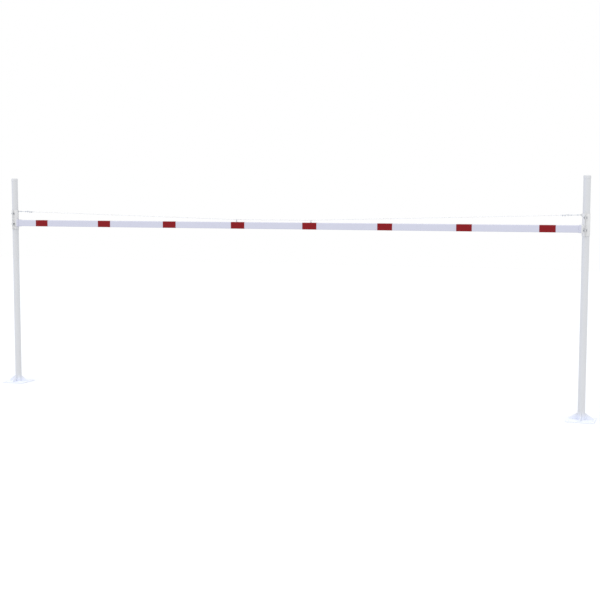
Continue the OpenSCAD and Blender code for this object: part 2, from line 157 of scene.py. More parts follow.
def sprayed_coat(name, white, shade):
    """A white powder coat whose film drifts between two close whites, with painted bounce light
    whitening its feet.
    """
    material, tree, shader = new_material(name, "white_powder_coat", {"IOR": 1.5})
    place = {"Vector": add_node(tree, "ShaderNodeTexCoord").outputs["Object"]}
    # Slow drift of the film's thickness, over about 300 mm
    drift = add_node(tree, "ShaderNodeTexNoise", {"Scale": 3.3, "Detail": 3}, place)
    tone = add_node(tree, "ShaderNodeMix",
                    {"data_type": "RGBA", 6: linear(white), 7: linear(shade)},
                    {0: drift.outputs["Fac"]})
    # Painted bounce light at the feet: a paler, bluish white in a grit-like speckle, strongest on
    # the feet and thinning out up the pipe
    height = add_node(tree, "ShaderNodeSeparateXYZ", links=place).outputs["Z"]
    foot_light_falloff = add_node(tree, "ShaderNodeMapRange",
                        {"interpolation_type": "SMOOTHERSTEP", "From Min": foot_light_top,
                         "From Max": 0.0, "To Max": 1.0}, {"Value": height})
    foot_light_speckle = add_node(tree, "ShaderNodeTexNoise", {"Scale": 160, "Detail": 4, "Roughness": 0.7},
                    place)
    foot_light_cover = add_node(tree, "ShaderNodeMapRange",
                          {"From Min": 0.25, "From Max": 0.55, "To Min": 0.7},
                          {"Value": foot_light_speckle.outputs["Fac"]})
    foot_light_amount = add_node(tree, "ShaderNodeMath", {"operation": "MULTIPLY"},
                    {0: foot_light_falloff.outputs["Result"], 1: foot_light_cover.outputs["Result"]})
    foot_lit_tone = add_node(tree, "ShaderNodeMix", {"data_type": "RGBA", 7: linear(FOOT_LIGHT_WHITE)},
                      {0: foot_light_amount.outputs[0], 6: tone.outputs[2]})
    tree.links.new(foot_lit_tone.outputs[2], shader.inputs["Base Color"])
    # Gloss varies with the bake, between satin and matt
    gloss = add_node(tree, "ShaderNodeMapRange", {"To Min": 0.36, "To Max": 0.52},
                     {"Value": drift.outputs["Fac"]})
    tree.links.new(gloss.outputs["Result"], shader.inputs["Roughness"])
    # Orange peel: dimples about 2 mm across, with nibs of 0.6 mm on them
    peel = add_node(tree, "ShaderNodeTexNoise", {"Scale": 480, "Detail": 1}, place)
    nibs = add_node(tree, "ShaderNodeTexVoronoi", {"Scale": 90, "Randomness": 1}, place)
    nib = add_node(tree, "ShaderNodeMapRange", {"From Min": 0.05, "From Max": 0, "To Max": 0.6},
                   {"Value": nibs.outputs["Distance"]})
    relief = add_node(tree, "ShaderNodeMath", {"operation": "ADD"},
                      {0: peel.outputs["Fac"], 1: nib.outputs["Result"]})
    bump = add_node(tree, "ShaderNodeBump", {"Strength": 0.25, "Distance": 0.08 * mm},
                    {"Height": relief.outputs[0]})
    tree.links.new(bump.outputs["Normal"], shader.inputs["Normal"])
    return material


powder_coat = sprayed_coat("baked_powder_coat", COAT_WHITE, COAT_SHADE)


def activate(piece):
    """Makes a piece the only one selected."""
    bpy.ops.object.select_all(action="DESELECT")
    piece.select_set(True)
    bpy.context.view_layer.objects.active = piece


def apply_modifier(piece, kind, **settings):
    """Adds a modifier with these settings and applies it."""
    activate(piece)
    modifier = piece.modifiers.new("step", kind)
    for key, value in settings.items():
        setattr(modifier, key, value)
    bpy.ops.object.modifier_apply(modifier=modifier.name)


def ease_edges(piece, width, segments=2, angle=35):
    """Breaks a piece's sharp edges by a small width, and shades the rest smooth."""
    if width:
        apply_modifier(piece, "BEVEL", width=width, segments=segments, limit_method="ANGLE",
                       angle_limit=math.radians(angle), harden_normals=False)
    activate(piece)
    bpy.ops.object.shade_smooth_by_angle(angle=math.radians(angle))


def start_from(add_shape, **settings):
    """A primitive to shape a piece from, its place taken into its mesh."""
    bpy.ops.object.select_all(action="DESELECT")
    add_shape(**settings)
    bpy.ops.object.transform_apply()
    return bpy.context.object


def clean_up(merge=True):
    """In edit mode, merges doubled vertices, unless told not to, and turns faces outwards."""
    bpy.ops.mesh.select_all(action="SELECT")
    if merge:
        bpy.ops.mesh.remove_doubles(threshold=0.002 * mm)
    bpy.ops.mesh.normals_make_consistent(inside=False)


def turned(profile, sides=64, closed=False):
    """A round piece about Z: a circle extruded and scaled from ring to ring of a profile of
    (radius, height) pairs. It ends in flat faces, or joins up with its first ring if closed."""
    piece = start_from(bpy.ops.mesh.primitive_circle_add, vertices=sides, radius=profile[0][0],
                       location=(0, 0, profile[0][1]))
    bpy.ops.object.mode_set(mode="EDIT")
    bpy.ops.mesh.select_mode(type="EDGE")
    bpy.ops.mesh.select_all(action="SELECT")
    if not closed:
        bpy.ops.mesh.edge_face_add()
        bpy.ops.mesh.select_all(action="SELECT")
    rings = list(profile) + ([profile[0]] if closed else [])
    for (r, z), (next_r, next_z) in zip(rings, rings[1:]):
        bpy.ops.mesh.extrude_edges_move(TRANSFORM_OT_translate={"value": (0, 0, next_z - z)})
        bpy.ops.transform.resize(value=(next_r / r, next_r / r, 1), center_override=(0, 0, next_z))
    if not closed:
        bpy.ops.mesh.edge_face_add()
    clean_up()
    bpy.ops.object.mode_set(mode="OBJECT")
    return piece


def hand_over(piece, name, body, finish, *stands_for):
    """Names a finished piece, gives it its finish, and fixes it to its body."""
    piece.name = name
    piece.data.name = name
    piece.data.materials.clear()
    piece.data.materials.append(finish)
    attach(piece, body)
    if stands_for:
        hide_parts(*stands_for)


mirrored = Matrix.Scale(-1, 4, (1, 0, 0))


def copy_of(piece, change):
    """A copy with its own mesh, moved, turned or mirrored by a matrix."""
    twin = piece.copy()
    twin.data = piece.data.copy()
    bpy.context.collection.objects.link(twin)
    twin.data.transform(change)
    if change.determinant() < 0:
        twin.data.flip_normals()
    return twin


def both_sides(piece):
    """The right-hand piece and its mirrored copy, each with its side's name."""
    return ("right", piece), ("left", copy_of(piece, mirrored))


def hand_over_pair(piece, name, body, finish, *stands_for):
    """Hands over the right-hand piece and its mirrored copy, for the nodes of both sides."""
    for side, twin in both_sides(piece):
        hand_over(twin, f"{side}_{name}", body, finish, *[f"{side}_{node}" for node in stands_for])


pipe_low, pipe_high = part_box("right_post_tube")
post_x = (pipe_low.x + pipe_high.x) / 2
post_r = (pipe_high.x - pipe_low.x) / 2
pipe_bore = post_r - 4 * mm
pipe_edge = 1 * mm
pipe_sides = 96
at_post = shift(post_x, 0, 0)
pipe = turned([(post_r - pipe_edge, pipe_low.z), (post_r, pipe_low.z + pipe_edge),
               (post_r, pipe_high.z - pipe_edge), (post_r - pipe_edge, pipe_high.z),
               (pipe_bore, pipe_high.z), (pipe_bore, pipe_low.z)], pipe_sides, closed=True)
pipe.data.transform(at_post)
ease_edges(pipe, 0)
hand_over_pair(pipe, "post_pipe", "posts", powder_coat, "post_tube")


# ---- Base plates ----
# Square steel plates, flame cut with rounded corners, with four holes for ground anchors.
# They are welded square to the pipes and coated with them, edges eased by the coat.
plate_low, plate_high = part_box("right_base_plate")
plate_top = plate_high.z
anchor_reach = 130 * mm
anchor_hole_r = 9 * mm
plate_corner = 14 * mm
overshoot = 5 * mm


def cut(piece, tool, operation="DIFFERENCE"):
    """Cuts a piece with a tool, or trims it to the tool, and throws the tool away."""
    apply_modifier(piece, "BOOLEAN", object=tool, operation=operation, solver="EXACT")
    bpy.data.objects.remove(tool)


def block(low, high):
    """A block of plate or bar between two corners, ready to be shaped."""
    bpy.ops.object.select_all(action="DESELECT")
    low, high = Vector(low), Vector(high)
    bpy.ops.mesh.primitive_cube_add(size=1, location=(low + high) / 2)
    piece = bpy.context.object
    piece.scale = high - low
    bpy.ops.object.transform_apply()
    return piece


def drill(piece, radius, start, end):
    """Drills a round hole from start to end."""
    start, end = Vector(start), Vector(end)
    bit = start_from(bpy.ops.mesh.primitive_cylinder_add, vertices=48, radius=radius,
                     depth=(end - start).length)
    bit.data.transform((end - start).to_track_quat("Z", "Y").to_matrix().to_4x4())
    bit.data.transform(Matrix.Translation((start + end) / 2))
    cut(piece, bit)


def runs_along(edge, axis):
    """Whether an edge runs along X, Y or Z, given as 0, 1 or 2."""
    step = edge.verts[1].co - edge.verts[0].co
    return abs(step[axis]) > 0.999 * step.length


def choose(kind, test):
    """In edit mode, selects the vertices, edges or faces that pass a test, and no others."""
    bpy.ops.mesh.select_mode(type=kind)
    bpy.ops.mesh.select_all(action="DESELECT")
    mesh = bpy.context.edit_object.data
    shape = bmesh.from_edit_mesh(mesh)
    parts = {"VERT": shape.verts, "EDGE": shape.edges, "FACE": shape.faces}[kind]
    for part in [part for part in parts if test(part)]:
        part.select_set(True)
    shape.select_flush_mode()
    bmesh.update_edit_mesh(mesh)


def round_off(piece, radius, segments, test):
    """Rounds off those of a piece's edges that pass a test."""
    activate(piece)
    bpy.ops.object.mode_set(mode="EDIT")
    choose("EDGE", test)
    bpy.ops.mesh.bevel(offset=radius, segments=segments, affect="EDGES")
    bpy.ops.object.mode_set(mode="OBJECT")


plate = block(plate_low, plate_high)
round_off(plate, plate_corner, 8, lambda edge: runs_along(edge, 2))
for x in (-anchor_reach, anchor_reach):
    for y in (-anchor_reach, anchor_reach):
        drill(plate, anchor_hole_r, (post_x + x, y, -overshoot),
              (post_x + x, y, plate_top + overshoot))
ease_edges(plate, 1.2 * mm)
hand_over_pair(plate, "foot_plate", "posts", powder_coat, "base_plate")


# ---- Gussets ----
# Four triangles of 8 mm plate stand round each pipe, sawn to a slope with a blunt nose, and
# with the inner corner nipped off so that the pipe's own weld can pass behind it.
fin_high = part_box("right_gussets")[1]
fin_reach = fin_high.x - post_x
fin_top = fin_high.z
fin_nose = 18 * mm
fin_t = 8 * mm
fin_nip = 9 * mm
fin_head = 6 * mm
fin_sunk = 0.3 * mm


def saw(piece, point, outwards):
    """Saws a piece through at a point, squarely to a direction, and keeps what lies behind."""
    activate(piece)
    bpy.ops.object.mode_set(mode="EDIT")
    bpy.ops.mesh.select_all(action="SELECT")
    bpy.ops.mesh.bisect(plane_co=point, plane_no=outwards, use_fill=True, clear_outer=True)
    bpy.ops.object.mode_set(mode="OBJECT")


fin = block((post_r - fin_sunk, -fin_t / 2, plate_top), (fin_reach, fin_t / 2, fin_top))
slope = Vector((fin_reach - post_r - fin_head, 0, plate_top + fin_nose - fin_top))
saw(fin, (fin_reach, 0, plate_top + fin_nose), (-slope.z, 0, slope.x))
saw(fin, (post_r + fin_nip, 0, plate_top), (-1, 0, -1))
ease_edges(fin, 0.9 * mm)
for number in range(4):
    spun = copy_of(fin, at_post @ rotation(90 * number, "Z"))
    hand_over_pair(spun, f"gusset_{number + 1}", "posts", powder_coat, "gussets")
bpy.data.objects.remove(fin)


# ---- Weld beads at the feet ----
# Fillet welds laid by hand, about 7 mm wide, under the coat: one round the foot of each
# pipe, and one down each side of every gusset, along the pipe and along the plate.
bead_r = 3.5 * mm
bead_stop = 2 * mm
ripple = 1.6 * mm


def bead(length, radius=bead_r):
    """A straight weld bead up from the origin, its ripples drawn in and its ends tapered."""
    piece = start_from(bpy.ops.mesh.primitive_cylinder_add, vertices=10, radius=radius,
                       depth=length, location=(0, 0, length / 2))
    steps = max(6, 2 * round(length / ripple / 2))
    bpy.ops.object.mode_set(mode="EDIT")
    choose("EDGE", lambda edge: runs_along(edge, 2))
    bpy.ops.mesh.subdivide(number_cuts=steps - 1)
    choose("VERT", lambda vert: round(vert.co.z / length * steps) % 2)
    bpy.ops.transform.resize(value=(0.86, 0.86, 1), center_override=(0, 0, 0))
    choose("VERT", lambda vert: round(vert.co.z / length * steps) in (0, steps))
    bpy.ops.transform.resize(value=(0.5, 0.5, 1), center_override=(0, 0, 0))
    bpy.ops.object.mode_set(mode="OBJECT")
    ease_edges(piece, 0, angle=80)
    return piece


def ring_bead(ring_r, z, radius=bead_r):
    """A weld bead right round the Z axis, its ripples drawn in."""
    steps = 2 * round(math.pi * ring_r / ripple)
    piece = start_from(bpy.ops.mesh.primitive_torus_add, major_radius=ring_r,
                       minor_radius=radius, major_segments=steps, minor_segments=10)
    bpy.ops.object.mode_set(mode="EDIT")
    choose("VERT", lambda vert: round(math.atan2(vert.co.y, vert.co.x) / math.tau * steps) % 2)
    bpy.ops.transform.shrink_fatten(value=-0.13 * radius)
    bpy.ops.object.mode_set(mode="OBJECT")
    piece.data.transform(shift(0, 0, z))
    ease_edges(piece, 0, angle=80)
    return piece


def joined(pieces):
    """Several parts of one weld as one piece."""
    activate(pieces[0])
    for piece in pieces:
        piece.select_set(True)
    bpy.ops.object.join()
    return bpy.context.object


foot_beads = [ring_bead(post_r + 0.5 * mm, plate_top + 0.5 * mm)]
upright = bead(fin_top - plate_top - fin_nip - bead_stop)
flat = bead(fin_reach - post_r - fin_nip - bead_stop)
for number in range(4):
    spin = rotation(90 * number, "Z")
    for face in (-fin_t / 2, fin_t / 2):
        root = shift(post_r, face, plate_top + fin_nip)
        foot_beads.append(copy_of(upright, spin @ root))
        root = shift(post_r + fin_nip, face, plate_top)
        foot_beads.append(copy_of(flat, spin @ root @ rotation(90, "Y")))
for part in (upright, flat):
    bpy.data.objects.remove(part)
foot_weld = joined(foot_beads)
foot_weld.data.transform(at_post)
hand_over_pair(foot_weld, "foot_weld", "posts", powder_coat)


# ---- Post caps ----
# Domed caps pressed from 2 mm steel sheet, driven over the pipe's open top against rain. The
# skirt's lip is rolled a little, and a round shoulder runs from the skirt into a low dome.
cap_low, cap_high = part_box("right_post_cap")
cap_r = (cap_high.x - cap_low.x) / 2
cap_bore = post_r + 0.05 * mm
dome_rise = cap_high.z - pipe_high.z
dome_r = cap_r - 0.4 * mm
dome_steps = 15
dome_squareness = 0.6
profile = [(cap_bore, cap_low.z), (cap_r - 0.5 * mm, cap_low.z), (cap_r, cap_low.z + 0.8 * mm),
           (cap_r, cap_low.z + 3 * mm), (dome_r, cap_low.z + 4 * mm), (dome_r, pipe_high.z)]
for step in range(1, dome_steps + 1):
    swing = math.radians(90 * step / dome_steps)
    profile.append((max(0.2 * mm, dome_r * max(0, math.cos(swing)) ** dome_squareness),
                    pipe_high.z + dome_rise * math.sin(swing) ** dome_squareness))
profile = profile[::-1] + [(cap_bore, pipe_high.z), (1 * mm, pipe_high.z)]
cap = turned(profile, pipe_sides)
cap.data.transform(at_post)
ease_edges(cap, 0)
hand_over_pair(cap, "domed_cap", "posts", powder_coat, "post_cap")


# ---- Crossbar ----
# An eight metre length of 90 mm square steel tube with rolled corners, enamelled a cool,
# faintly violet white. The tube mill leaves long shallow draw lines that show in the gloss.
ENAMEL = "#c3c4d1"
ENAMEL_SHADE = "#bebfcd"
# The clamps' whites are lighter than the posts' coat: painted light, offsetting the shade that the
# ears and bolts throw on the sleeves
CLAMP_LIT_WHITE = "#d4d4d4"
lap_starts = post_x - 53 * mm
lap_is_full = post_x - 45 * mm

enamel, tree, shader = new_material("baked_enamel", "crossbar_enamel", {"IOR": 1.5})
place = {"Vector": add_node(tree, "ShaderNodeTexCoord").outputs["Object"]}
drift = add_node(tree, "ShaderNodeTexNoise", {"Scale": 2.1, "Detail": 3}, place)
tone = add_node(tree, "ShaderNodeMix",
                {"data_type": "RGBA", 6: linear(ENAMEL), 7: linear(ENAMEL_SHADE)},
                {0: drift.outputs["Fac"]})
# The clamps' own white coat, made lighter with painted light, laps over the cheeks of the collars,
# nearest the sleeves
along = add_node(tree, "ShaderNodeSeparateXYZ", links=place).outputs["X"]
from_middle = add_node(tree, "ShaderNodeMath", {"operation": "ABSOLUTE"}, {0: along})
lapped = add_node(tree, "ShaderNodeMapRange", {"From Min": lap_starts, "From Max": lap_is_full},
                  {"Value": from_middle.outputs[0]})
coated = add_node(tree, "ShaderNodeMix", {"data_type": "RGBA", 7: linear(CLAMP_LIT_WHITE)},
                  {0: lapped.outputs["Result"], 6: tone.outputs[2]})
tree.links.new(coated.outputs[2], shader.inputs["Base Color"])
# Draw lines: 4 mm apart across the tube and half a metre long
stretch = add_node(tree, "ShaderNodeMapping", {"Scale": (2, 250, 250)}, place)
lines = add_node(tree, "ShaderNodeTexNoise", {"Scale": 1, "Detail": 2},
                 {"Vector": stretch.outputs[0]})
gloss = add_node(tree, "ShaderNodeMapRange", {"To Min": 0.3, "To Max": 0.46},
                 {"Value": lines.outputs["Fac"]})
tree.links.new(gloss.outputs["Result"], shader.inputs["Roughness"])
peel = add_node(tree, "ShaderNodeTexNoise", {"Scale": 420, "Detail": 1}, place)
relief = add_node(tree, "ShaderNodeMath", {"operation": "ADD"},
                  {0: peel.outputs["Fac"], 1: lines.outputs["Fac"]})
bump = add_node(tree, "ShaderNodeBump", {"Strength": 0.22, "Distance": 0.08 * mm},
                {"Height": relief.outputs[0]})
tree.links.new(bump.outputs["Normal"], shader.inputs["Normal"])

beam = frame["nodes"]["beam_tube"]
beam.data.materials.clear()
beam.data.materials.append(enamel)


# ---- Red bands ----
# Eight wraps of dark red retroreflective film, 200 mm wide. The film is sealed into diamond
# cells about 5 mm across, and each wrap's end laps over its start on the tube's back.
FILM_RED = "#7e151b"
FILM_CELL = "#84171d"
FILM_SEAM = "#681116"
lap_width = 22 * mm
lap_below = 28 * mm
film_t = 0.4 * mm

film, tree, shader = new_material("prismatic_film", "red_reflective_film",
                                  {"Roughness": 0.3, "IOR": 1.49, "Specular IOR Level": 0.12})
place = {"Vector": add_node(tree, "ShaderNodeTexCoord").outputs["Object"]}
axes = add_node(tree, "ShaderNodeSeparateXYZ", links=place)
around = add_node(tree, "ShaderNodeMath", {"operation": "ADD"},
                  {0: axes.outputs["Y"], 1: axes.outputs["Z"]})
sheet = add_node(tree, "ShaderNodeCombineXYZ", links={0: axes.outputs["X"], 1: around.outputs[0]})
diagonal = add_node(tree, "ShaderNodeMapping",
                    {"Rotation": (0, 0, math.radians(45)), "Scale": (200, 200, 200)},
                    {"Vector": sheet.outputs[0]})
cells = add_node(tree, "ShaderNodeTexBrick",
                 {"offset": 0, "Scale": 1, "Brick Width": 1, "Row Height": 1, "Mortar Size": 0.06,
                  "Mortar Smooth": 0.4, "Color1": linear(FILM_RED), "Color2": linear(FILM_CELL),
                  "Mortar": linear(FILM_SEAM)}, {"Vector": diagonal.outputs[0]})
tree.links.new(cells.outputs["Color"], shader.inputs["Base Color"])
bump = add_node(tree, "ShaderNodeBump", {"Strength": 0.3, "Distance": 0.1 * mm, "invert": True},
                {"Height": cells.outputs["Fac"]})
tree.links.new(bump.outputs["Normal"], shader.inputs["Normal"])

bands = frame["nodes"]["red_bands"]
bands_low, bands_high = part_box("red_bands")
bands.data.materials.clear()
bands.data.materials.append(film)

beam_low, beam_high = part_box("beam_tube")
beam_z = (beam_low.z + beam_high.z) / 2
band_count = 8
band_w = 200 * mm
band_step = (bands_high.x - bands_low.x - band_w) / (band_count - 1)
lap = block((bands_low.x, bands_high.y - 0.1 * mm, beam_z - lap_below),
            (bands_low.x + band_w, bands_high.y + film_t, beam_z - lap_below + lap_width))
round_off(lap, 2 * mm, 3, lambda edge: runs_along(edge, 1))
ease_edges(lap, 0.15 * mm, 1)
for number in range(band_count):
    piece = copy_of(lap, shift(band_step * number, 0, 0))
    hand_over(piece, f"film_lap_{number + 1}", "crossbar", film)
bpy.data.objects.remove(lap)


# ---- Clamp sleeves ----
# A 275 mm length of steel tube that slides on the post, slit down the front so that it can
# be drawn tight, and turned square at both ends. Its coat is painted whiter than the posts', as
# painted light that offsets the shade of the ears and bolts.
sleeve_low, sleeve_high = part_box("right_clamp_sleeve")
sleeve_r = (sleeve_high.x - sleeve_low.x) / 2
sleeve_bore = sleeve_r - 5 * mm
ears_low, ears_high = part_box("right_clamp_ears")
ear_t = 7 * mm
slit = (ears_high.x - ears_low.x) / 2 - ear_t
CLAMP_LIT_GREY = "#d0d0d0"
# A lighter copy of the posts' coat: painted light offsetting the shade of the ears and bolts
lit_clamp_coat = sprayed_coat("lit_clamp_powder_coat", CLAMP_LIT_WHITE, CLAMP_LIT_GREY)

sleeve = turned([(sleeve_bore, sleeve_low.z), (sleeve_r, sleeve_low.z),
                 (sleeve_r, sleeve_high.z), (sleeve_bore, sleeve_high.z)], pipe_sides,
                closed=True)
cut(sleeve, block((-slit, -sleeve_r - overshoot, sleeve_low.z - overshoot),
                  (slit, 0, sleeve_high.z + overshoot)))
sleeve.data.transform(at_post)
ease_edges(sleeve, 0.8 * mm)
hand_over_pair(sleeve, "split_sleeve", "crossbar", lit_clamp_coat, "clamp_sleeve")


# ---- Clamp ears ----
# Two flat bars on edge, 7 mm thick, welded down the lips of the slit. Their outer corners
# are rounded off, and two holes go through both for the bolts that pinch the sleeve.
ear_tip = ears_low.y
ear_corner = 10 * mm
bolt_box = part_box("right_clamp_bolts")
bolt_r = 6 * mm
bolt_y = (ears_low.y - sleeve_r) / 2
bolt_clearance = 0.5 * mm
hex_r = 11.1 * mm
bolt_span = bolt_box[1].z - bolt_box[0].z - 2 * hex_r * math.cos(math.radians(30))
bolt_middle = (bolt_box[1].z + bolt_box[0].z) / 2
bolt_heights = (bolt_middle - bolt_span / 2, bolt_middle + bolt_span / 2)

ear = block((slit, ear_tip, ears_low.z), (slit + ear_t, -sleeve_r + 2 * mm, ears_high.z))
round_off(ear, ear_corner, 8,
          lambda edge: runs_along(edge, 0) and edge.verts[0].co.y < ear_tip + 1 * mm)
for z in bolt_heights:
    drill(ear, bolt_r + bolt_clearance, (slit - 2 * mm, bolt_y, z),
          (slit + ear_t + 2 * mm, bolt_y, z))
ease_edges(ear, 0.9 * mm)
for part, name in ((ear, "outer"), (copy_of(ear, mirrored), "inner")):
    part.data.transform(at_post)
    hand_over_pair(part, f"{name}_ear", "crossbar", lit_clamp_coat, "clamp_ears")

root = bead(ears_high.z - ears_low.z - 16 * mm, 3 * mm)
ear_beads = [copy_of(root, shift(x, -math.sqrt(sleeve_r ** 2 - x ** 2), ears_low.z + 8 * mm))
             for x in (-slit - ear_t, slit + ear_t)]
bpy.data.objects.remove(root)
ear_weld = joined(ear_beads)
ear_weld.data.transform(at_post)
hand_over_pair(ear_weld, "ear_weld", "crossbar", lit_clamp_coat)


# ---- Crossbar sockets ----
# Square steel collars welded to the sleeves. Each takes the last 25 mm of the crossbar, its
# mouth a close fit round the tube, and is enamelled together with the crossbar.
collar_low, collar_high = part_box("right_beam_socket")
collar_corner = 9 * mm
beam_corner = 8 * mm
weld_behind = 22 * mm

collar = block(collar_low, collar_high)
round_off(collar, collar_corner, 6, lambda edge: runs_along(edge, 0))
mouth = block((collar_low.x - overshoot, beam_low.y, beam_low.z), beam_high)
round_off(mouth, beam_corner, 8, lambda edge: runs_along(edge, 0))
cut(collar, mouth)
drill(collar, sleeve_r - 0.2 * mm, (post_x, 0, collar_low.z - overshoot),
      (post_x, 0, collar_high.z + overshoot))
ease_edges(collar, 0.8 * mm)
hand_over_pair(collar, "square_collar", "crossbar", enamel, "beam_socket")

arcs = []
for z in (collar_low.z, collar_high.z):
    arcs.append(ring_bead(sleeve_r + 0.4 * mm, z, 3 * mm))
    saw(arcs[-1], (-weld_behind, 0, 0), (1, 0, 0))
collar_weld = joined(arcs)
collar_weld.data.transform(at_post)
hand_over_pair(collar_weld, "collar_weld", "crossbar", enamel)


# ---- Stay lugs ----
# Small plates on edge, 8 mm thick, welded to the post side of each sleeve near its top. The
# tip is sawn to a blunt point and drilled for the turnbuckle's hook.
lug_low, lug_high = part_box("right_stay_lug")
lug_t = 8 * mm
lug_nose = 8 * mm
lug_hole_r = 5.5 * mm
buckle_joint = next(joint for joint in frame["joints"]
                    if joint["name"] == "right_turnbuckle_turn")
stay_line = Vector(buckle_joint["axis"]).normalized()
buckle_middle = 83 * mm
lug_hole = Vector(buckle_joint["pos_m"]) + buckle_middle * stay_line
lug_back = post_x - sleeve_r

lug = block((lug_low.x, -lug_t / 2, lug_low.z), (lug_back + 1 * mm, lug_t / 2, lug_high.z))
# Sawn off below and above the nose, along slopes that run back to the sleeve
saw(lug, (lug_low.x, 0, lug_hole.z - lug_nose), (-20, 0, -14.75))
saw(lug, (lug_low.x, 0, lug_hole.z + lug_nose), (-5, 0, 11.75))
round_off(lug, 3 * mm, 4,
          lambda edge: runs_along(edge, 1) and edge.verts[0].co.x < lug_low.x + 0.1 * mm)
drill(lug, lug_hole_r, (lug_hole.x, -lug_t, lug_hole.z), (lug_hole.x, lug_t, lug_hole.z))
ease_edges(lug, 0.7 * mm)
hand_over_pair(lug, "lug_plate", "crossbar", lit_clamp_coat, "stay_lug")

root = bead(lug_high.z - lug_low.z - 2 * mm, 2.5 * mm)
lug_beads = [copy_of(root, shift(lug_back, y, lug_low.z + 1 * mm))
             for y in (-lug_t / 2, lug_t / 2)]
bpy.data.objects.remove(root)
lug_weld = joined(lug_beads)
hand_over_pair(lug_weld, "lug_weld", "crossbar", lit_clamp_coat)


# ---- Clamp bolts, nuts and washers ----
# M12 hexagon bolts, forged, with rolled threads, and a plain washer under each head and nut.
# Their zinc plating has gone dull. The heads face outwards, away from the crossbar.
ZINC = "#a7aaaf"
ZINC_DULL = "#8b8f95"


def zinc_plating(name, bright, dull):
    """Zinc plating, cloudy between a bright and a dull grey."""
    material, tree, shader = new_material(name, "zinc_plated_steel", {"Metallic": 1})
    place = {"Vector": add_node(tree, "ShaderNodeTexCoord").outputs["Object"]}
    # Cloudy passivation, in patches of about 4 mm
    cloud = add_node(tree, "ShaderNodeTexNoise", {"Scale": 260, "Detail": 4, "Roughness": 0.6},
                     place)
    tone = add_node(tree, "ShaderNodeMix",
                    {"data_type": "RGBA", 6: linear(bright), 7: linear(dull)},
                    {0: cloud.outputs["Fac"]})
    tree.links.new(tone.outputs[2], shader.inputs["Base Color"])
    gloss = add_node(tree, "ShaderNodeMapRange", {"To Min": 0.28, "To Max": 0.55},
                     {"Value": cloud.outputs["Fac"]})
    tree.links.new(gloss.outputs["Result"], shader.inputs["Roughness"])
    grain = add_node(tree, "ShaderNodeTexNoise", {"Scale": 1500, "Detail": 2}, place)
    bump = add_node(tree, "ShaderNodeBump", {"Strength": 0.2, "Distance": 0.03 * mm},
                    {"Height": grain.outputs["Fac"]})
    tree.links.new(bump.outputs["Normal"], shader.inputs["Normal"])
    return material


dull_zinc = zinc_plating("dull_zinc_plating", ZINC, ZINC_DULL)


def hexagon(thread_r, height, bore=0, both_faces=True):
    """A hexagon head or nut from z = 0, its corners turned off at 30 degrees."""
    corner_r = 1.85 * thread_r
    flat_r = corner_r * math.cos(math.radians(30))
    face_r = 0.95 * flat_r
    drop = (corner_r - face_r) * math.tan(math.radians(30))
    lower = [(face_r, 0), (corner_r, drop)] if both_faces else [(corner_r, 0)]
    gauge = turned(lower + [(corner_r, height - drop), (face_r, height)], 60)
    piece = start_from(bpy.ops.mesh.primitive_cylinder_add, vertices=6, radius=corner_r,
                       depth=height, location=(0, 0, height / 2))
    cut(piece, gauge, "INTERSECT")
    if bore:
        drill(piece, bore, (0, 0, -1 * mm), (0, 0, height + 1 * mm))
    ease_edges(piece, 0, angle=25)
    return piece


def thread(thread_r, pitch, start, end):
    """The ridge of a screw thread about Z: a 60 degree wedge carried round and up."""
    wedge_r = 0.56 * pitch
    piece = start_from(bpy.ops.mesh.primitive_circle_add, vertices=3, radius=wedge_r)
    piece.data.transform(rotation(90, "X") @ rotation(-90, "Z"))
    piece.data.transform(shift(thread_r - wedge_r, 0, start + 0.6 * pitch))
    apply_modifier(piece, "SCREW", angle=math.tau, screw_offset=pitch, steps=18, render_steps=18,
                   iterations=max(1, int((end - start) / pitch - 1.2)))
    bpy.ops.object.mode_set(mode="EDIT")
    bpy.ops.mesh.select_all(action="SELECT")
    bpy.ops.mesh.fill_holes(sides=4)
    clean_up(merge=False)
    bpy.ops.object.mode_set(mode="OBJECT")
    ease_edges(piece, 0, angle=25)
    return piece


bolt_pitch = 1.75 * mm
head_h = 7.68 * mm
nut_h = 10.2 * mm
washer_t = 2.4 * mm
grip = slit + ear_t + washer_t
bolt_tail = grip + nut_h + 5 * mm
root_r = bolt_r - 0.6 * bolt_pitch
thread_starts = 2 * mm
washer_r = 2 * bolt_r
washer_bore = bolt_r + bolt_clearance
washer_edge = 0.3 * mm
face_right = rotation(90, "Y")
flats_across = rotation(90, "Z")

head = hexagon(bolt_r, head_h, both_faces=False)
head.data.transform(shift(0, 0, grip) @ flats_across)
# The shank starts just inside the head, and its far end is turned to a point
shank = turned([(bolt_r, -grip - 0.2 * mm), (bolt_r, thread_starts),
                (root_r, thread_starts + 0.5 * bolt_pitch), (root_r, bolt_tail - 0.7 * bolt_pitch),
                (root_r - 0.6 * bolt_pitch, bolt_tail)], 32)
shank = joined([shank, thread(bolt_r, bolt_pitch, thread_starts, bolt_tail)])
shank.data.transform(rotation(180, "X"))
bolt = joined([head, shank])
nut = hexagon(bolt_r, nut_h, bore=bolt_r - 0.1 * mm)
nut.data.transform(shift(0, 0, -grip - nut_h) @ flats_across)
washer = turned([(washer_bore, 0), (washer_r - washer_edge, 0), (washer_r, washer_edge),
                 (washer_r, washer_t - washer_edge), (washer_r - washer_edge, washer_t),
                 (washer_bore, washer_t)], 48, closed=True)
ease_edges(washer, 0)
for number, z in enumerate(bolt_heights, 1):
    across = shift(post_x, bolt_y, z) @ face_right
    for source, name in ((bolt, "clamp_bolt"), (nut, "clamp_nut")):
        hand_over_pair(copy_of(source, across), f"{name}_{number}", "crossbar", dull_zinc,
                       f"{name}s")
    for name, drop in (("outer", slit + ear_t), ("inner", -grip)):
        hand_over_pair(copy_of(washer, across @ shift(0, 0, drop)), f"{name}_washer_{number}",
                       "crossbar", dull_zinc, "clamp_washers")
for source in (bolt, nut, washer):
    bpy.data.objects.remove(source)


